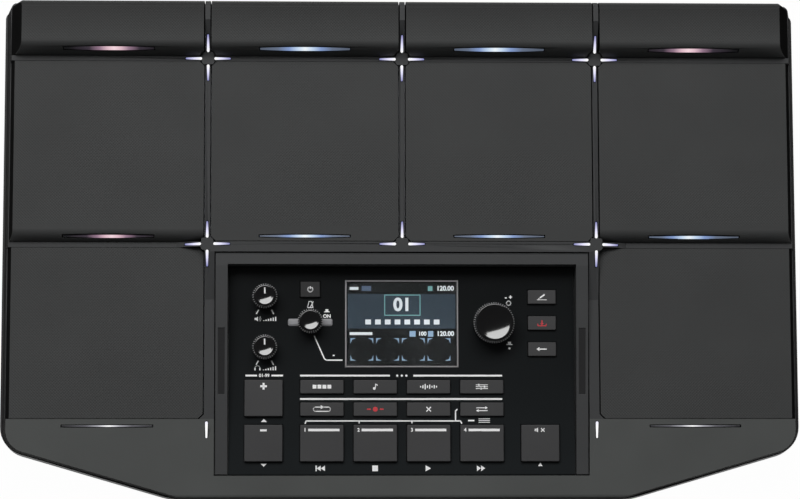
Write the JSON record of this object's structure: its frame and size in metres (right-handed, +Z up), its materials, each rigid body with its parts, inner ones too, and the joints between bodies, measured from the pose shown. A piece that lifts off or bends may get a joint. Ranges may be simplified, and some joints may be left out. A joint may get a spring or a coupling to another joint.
{
  "type": "electronic percussion pad",
  "caption": "Flat table-top percussion instrument with square rubber striking pads, raised rear rim pads, light slits and a sunken control panel with a screen, push buttons and knobs.",
  "frame": {"origin": "On the table, under the middle of the outline with the sockets at the rear", "axes": "+X to the player's right, +Y to the rear with the sockets, +Z up"},
  "size_m": [0.426, 0.2654, 0.0694],
  "materials": {
    "pad_rubber": "matte charcoal rubber with a fine crossed texture",
    "housing_plastic": "fine-grained charcoal plastic",
    "base_plastic": "fine-grained black plastic",
    "panel_plastic": "smooth black panel",
    "screen_glass": "clear screen window",
    "screen_frame": "grey screen module",
    "light_guide": "milky light guide",
    "lamp_lens": "milky grey lamp lens",
    "plate_steel": "bare sheet steel",
    "sensor_film": "amber sensor film",
    "circuit_board": "green circuit board",
    "switch_plastic": "black switch body",
    "pot_metal": "pressed metal can",
    "shaft_steel": "turned steel",
    "knob_plastic": "glossy black plastic",
    "button_plastic": "charcoal plastic",
    "socket_plastic": "black socket body",
    "nut_metal": "plated nut",
    "cable_plastic": "grey flat cable",
    "foot_rubber": "black rubber",
    "screw_steel": "blackened steel",
    "insert_brass": "turned brass"
  },
  "bodies": {
    "housing": {"top_case": "housing_plastic", "panel_bezel": "housing_plastic", "bottom_case": "base_plastic", "control_panel": "panel_plastic", "display_window": "screen_glass", "display_module": "screen_frame", "pad_light_bars": "light_guide", "cross_light_guides": "light_guide", "metronome_lamp": "lamp_lens", "pad_base_plates": "plate_steel", "pressure_sensors": "sensor_film", "panel_board": "circuit_board", "main_board": "circuit_board", "tact_switches": "switch_plastic", "volume_pots": "pot_metal", "push_encoders": "pot_metal", "jack_sockets": "socket_plastic", "power_usb_sockets": "socket_plastic", "jack_nuts": "nut_metal", "ribbon_cables": "cable_plastic", "rubber_feet": "foot_rubber", "screws": "screw_steel", "stand_inserts": "insert_brass"},
    "rear_pad_1": {"rear_pad_1": "pad_rubber"},
    "rear_pad_2": {"rear_pad_2": "pad_rubber"},
    "rear_pad_3": {"rear_pad_3": "pad_rubber"},
    "rear_pad_4": {"rear_pad_4": "pad_rubber"},
    "upper_pad_1": {"upper_pad_1": "pad_rubber"},
    "upper_pad_2": {"upper_pad_2": "pad_rubber"},
    "upper_pad_3": {"upper_pad_3": "pad_rubber"},
    "upper_pad_4": {"upper_pad_4": "pad_rubber"},
    "lower_pad_left": {"lower_pad_left": "pad_rubber"},
    "lower_pad_right": {"lower_pad_right": "pad_rubber"},
    "power_button": {"power_button": "button_plastic"},
    "edit_button": {"edit_button": "button_plastic"},
    "write_button": {"write_button": "button_plastic"},
    "exit_button": {"exit_button": "button_plastic"},
    "mode_button_1": {"mode_button_1": "button_plastic"},
    "mode_button_2": {"mode_button_2": "button_plastic"},
    "mode_button_3": {"mode_button_3": "button_plastic"},
    "mode_button_4": {"mode_button_4": "button_plastic"},
    "mode_button_5": {"mode_button_5": "button_plastic"},
    "mode_button_6": {"mode_button_6": "button_plastic"},
    "mode_button_7": {"mode_button_7": "button_plastic"},
    "mode_button_8": {"mode_button_8": "button_plastic"},
    "kit_plus_button": {"kit_plus_button": "button_plastic"},
    "kit_minus_button": {"kit_minus_button": "button_plastic"},
    "function_button_1": {"function_button_1": "button_plastic"},
    "function_button_2": {"function_button_2": "button_plastic"},
    "function_button_3": {"function_button_3": "button_plastic"},
    "function_button_4": {"function_button_4": "button_plastic"},
    "shift_button": {"shift_button": "button_plastic"},
    "main_volume": {"main_volume_shaft": "shaft_steel", "main_volume_knob": "knob_plastic"},
    "phones_volume": {"phones_volume_shaft": "shaft_steel", "phones_volume_knob": "knob_plastic"},
    "metronome_shaft": {"metronome_shaft": "shaft_steel"},
    "metronome_knob": {"metronome_knob": "knob_plastic"},
    "value_shaft": {"value_shaft": "shaft_steel"},
    "value_knob": {"value_knob": "knob_plastic"}
  },
  "joints": [
    {"name": "rear_pad_1_strike", "type": "slide", "parent": "housing", "child": "rear_pad_1", "axis": [0, 0.0785, -0.9969], "range_m": [0, 0.0005], "stiffness_N_per_m": 8000, "springref_m": -0.0004},
    {"name": "rear_pad_2_strike", "type": "slide", "parent": "housing", "child": "rear_pad_2", "axis": [0, 0.0785, -0.9969], "range_m": [0, 0.0005], "stiffness_N_per_m": 8000, "springref_m": -0.0004},
    {"name": "rear_pad_3_strike", "type": "slide", "parent": "housing", "child": "rear_pad_3", "axis": [0, 0.0785, -0.9969], "range_m": [0, 0.0005], "stiffness_N_per_m": 8000, "springref_m": -0.0004},
    {"name": "rear_pad_4_strike", "type": "slide", "parent": "housing", "child": "rear_pad_4", "axis": [0, 0.0785, -0.9969], "range_m": [0, 0.0005], "stiffness_N_per_m": 8000, "springref_m": -0.0004},
    {"name": "upper_pad_1_strike", "type": "slide", "parent": "housing", "child": "upper_pad_1", "axis": [0, 0.0785, -0.9969], "range_m": [0, 0.0005], "stiffness_N_per_m": 8000, "springref_m": -0.0004},
    {"name": "upper_pad_2_strike", "type": "slide", "parent": "housing", "child": "upper_pad_2", "axis": [0, 0.0785, -0.9969], "range_m": [0, 0.0005], "stiffness_N_per_m": 8000, "springref_m": -0.0004},
    {"name": "upper_pad_3_strike", "type": "slide", "parent": "housing", "child": "upper_pad_3", "axis": [0, 0.0785, -0.9969], "range_m": [0, 0.0005], "stiffness_N_per_m": 8000, "springref_m": -0.0004},
    {"name": "upper_pad_4_strike", "type": "slide", "parent": "housing", "child": "upper_pad_4", "axis": [0, 0.0785, -0.9969], "range_m": [0, 0.0005], "stiffness_N_per_m": 8000, "springref_m": -0.0004},
    {"name": "lower_pad_left_strike", "type": "slide", "parent": "housing", "child": "lower_pad_left", "axis": [0, 0.0785, -0.9969], "range_m": [0, 0.0005], "stiffness_N_per_m": 8000, "springref_m": -0.0004},
    {"name": "lower_pad_right_strike", "type": "slide", "parent": "housing", "child": "lower_pad_right", "axis": [0, 0.0785, -0.9969], "range_m": [0, 0.0005], "stiffness_N_per_m": 8000, "springref_m": -0.0004},
    {"name": "power_button_press", "type": "slide", "parent": "housing", "child": "power_button", "axis": [0, 0.0785, -0.9969], "range_m": [0, 0.0005], "stiffness_N_per_m": 300, "springref_m": -0.001},
    {"name": "edit_button_press", "type": "slide", "parent": "housing", "child": "edit_button", "axis": [0, 0.0785, -0.9969], "range_m": [0, 0.0005], "stiffness_N_per_m": 300, "springref_m": -0.001},
    {"name": "write_button_press", "type": "slide", "parent": "housing", "child": "write_button", "axis": [0, 0.0785, -0.9969], "range_m": [0, 0.0005], "stiffness_N_per_m": 300, "springref_m": -0.001},
    {"name": "exit_button_press", "type": "slide", "parent": "housing", "child": "exit_button", "axis": [0, 0.0785, -0.9969], "range_m": [0, 0.0005], "stiffness_N_per_m": 300, "springref_m": -0.001},
    {"name": "mode_button_1_press", "type": "slide", "parent": "housing", "child": "mode_button_1", "axis": [0, 0.0785, -0.9969], "range_m": [0, 0.0005], "stiffness_N_per_m": 300, "springref_m": -0.001},
    {"name": "mode_button_2_press", "type": "slide", "parent": "housing", "child": "mode_button_2", "axis": [0, 0.0785, -0.9969], "range_m": [0, 0.0005], "stiffness_N_per_m": 300, "springref_m": -0.001},
    {"name": "mode_button_3_press", "type": "slide", "parent": "housing", "child": "mode_button_3", "axis": [0, 0.0785, -0.9969], "range_m": [0, 0.0005], "stiffness_N_per_m": 300, "springref_m": -0.001},
    {"name": "mode_button_4_press", "type": "slide", "parent": "housing", "child": "mode_button_4", "axis": [0, 0.0785, -0.9969], "range_m": [0, 0.0005], "stiffness_N_per_m": 300, "springref_m": -0.001},
    {"name": "mode_button_5_press", "type": "slide", "parent": "housing", "child": "mode_button_5", "axis": [0, 0.0785, -0.9969], "range_m": [0, 0.0005], "stiffness_N_per_m": 300, "springref_m": -0.001},
    {"name": "mode_button_6_press", "type": "slide", "parent": "housing", "child": "mode_button_6", "axis": [0, 0.0785, -0.9969], "range_m": [0, 0.0005], "stiffness_N_per_m": 300, "springref_m": -0.001},
    {"name": "mode_button_7_press", "type": "slide", "parent": "housing", "child": "mode_button_7", "axis": [0, 0.0785, -0.9969], "range_m": [0, 0.0005], "stiffness_N_per_m": 300, "springref_m": -0.001},
    {"name": "mode_button_8_press", "type": "slide", "parent": "housing", "child": "mode_button_8", "axis": [0, 0.0785, -0.9969], "range_m": [0, 0.0005], "stiffness_N_per_m": 300, "springref_m": -0.001},
    {"name": "kit_plus_button_press", "type": "slide", "parent": "housing", "child": "kit_plus_button", "axis": [0, 0.0785, -0.9969], "range_m": [0, 0.0005], "stiffness_N_per_m": 300, "springref_m": -0.001},
    {"name": "kit_minus_button_press", "type": "slide", "parent": "housing", "child": "kit_minus_button", "axis": [0, 0.0785, -0.9969], "range_m": [0, 0.0005], "stiffness_N_per_m": 300, "springref_m": -0.001},
    {"name": "function_button_1_press", "type": "slide", "parent": "housing", "child": "function_button_1", "axis": [0, 0.0785, -0.9969], "range_m": [0, 0.0005], "stiffness_N_per_m": 300, "springref_m": -0.001},
    {"name": "function_button_2_press", "type": "slide", "parent": "housing", "child": "function_button_2", "axis": [0, 0.0785, -0.9969], "range_m": [0, 0.0005], "stiffness_N_per_m": 300, "springref_m": -0.001},
    {"name": "function_button_3_press", "type": "slide", "parent": "housing", "child": "function_button_3", "axis": [0, 0.0785, -0.9969], "range_m": [0, 0.0005], "stiffness_N_per_m": 300, "springref_m": -0.001},
    {"name": "function_button_4_press", "type": "slide", "parent": "housing", "child": "function_button_4", "axis": [0, 0.0785, -0.9969], "range_m": [0, 0.0005], "stiffness_N_per_m": 300, "springref_m": -0.001},
    {"name": "shift_button_press", "type": "slide", "parent": "housing", "child": "shift_button", "axis": [0, 0.0785, -0.9969], "range_m": [0, 0.0005], "stiffness_N_per_m": 300, "springref_m": -0.001},
    {"name": "main_volume_turn", "type": "hinge", "parent": "housing", "child": "main_volume", "pos_m": [-0.0725, -0.02704, 0.03755], "axis": [0, -0.0785, 0.9969], "range_deg": [-150, 150]},
    {"name": "phones_volume_turn", "type": "hinge", "parent": "housing", "child": "phones_volume", "pos_m": [-0.0725, -0.05396, 0.03543], "axis": [0, -0.0785, 0.9969], "range_deg": [-150, 150]},
    {"name": "metronome_push", "type": "slide", "parent": "housing", "child": "metronome_shaft", "axis": [0, 0.0785, -0.9969], "range_m": [0, 0.0006], "stiffness_N_per_m": 600, "springref_m": -0.001},
    {"name": "metronome_turn", "type": "hinge", "parent": "metronome_shaft", "child": "metronome_knob", "pos_m": [-0.04855, -0.0403, 0.0365], "axis": [0, -0.0785, 0.9969], "continuous": true},
    {"name": "value_push", "type": "slide", "parent": "housing", "child": "value_shaft", "axis": [0, 0.0785, -0.9969], "range_m": [0, 0.0006], "stiffness_N_per_m": 600, "springref_m": -0.001},
    {"name": "value_turn", "type": "hinge", "parent": "value_shaft", "child": "value_knob", "pos_m": [0.04855, -0.0414, 0.03642], "axis": [0, -0.0785, 0.9969], "continuous": true}
  ]
}
